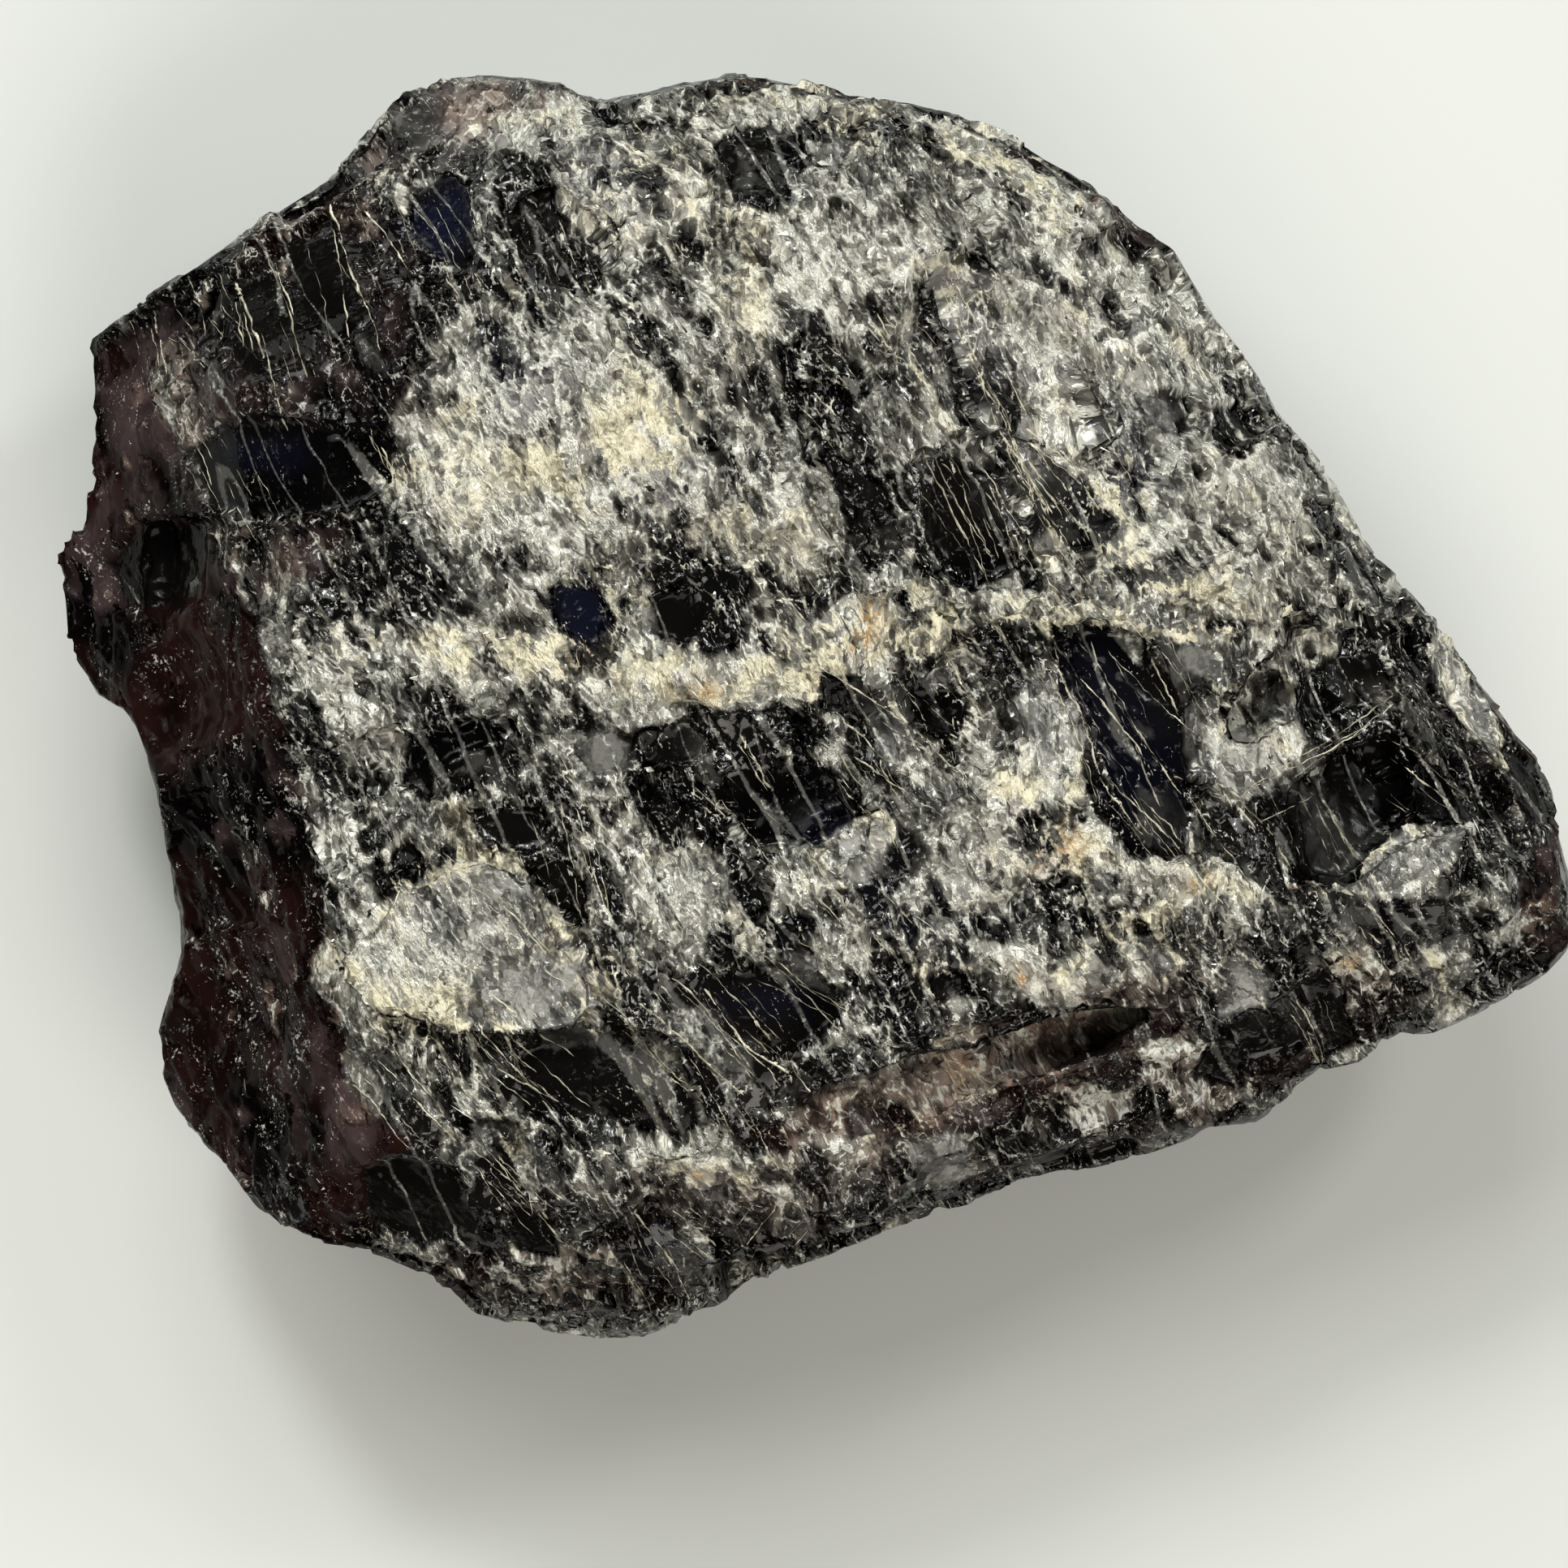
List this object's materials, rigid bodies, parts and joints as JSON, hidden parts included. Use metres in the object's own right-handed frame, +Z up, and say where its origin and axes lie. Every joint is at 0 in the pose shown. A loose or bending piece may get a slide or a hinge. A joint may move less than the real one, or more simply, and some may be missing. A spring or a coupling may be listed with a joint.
{
  "type": "iolite crystal",
  "caption": "Rough tabular piece of dark violet-black crystal with a broad broken face, stepped partings and a flat face to lie on.",
  "frame": {"origin": "on the flat resting face, under the middle of the piece", "axes": "+Z up out of the broad broken face, +X along the piece's length, towards its narrow end"},
  "size_m": [0.0574, 0.0476, 0.0187],
  "materials": {
    "crystal": "glassy broken crystal, near black with a violet tint, crossed by pale cracks and cream veins"
  },
  "bodies": {
    "root": {"crystal": "crystal"}
  },
  "joints": []
}
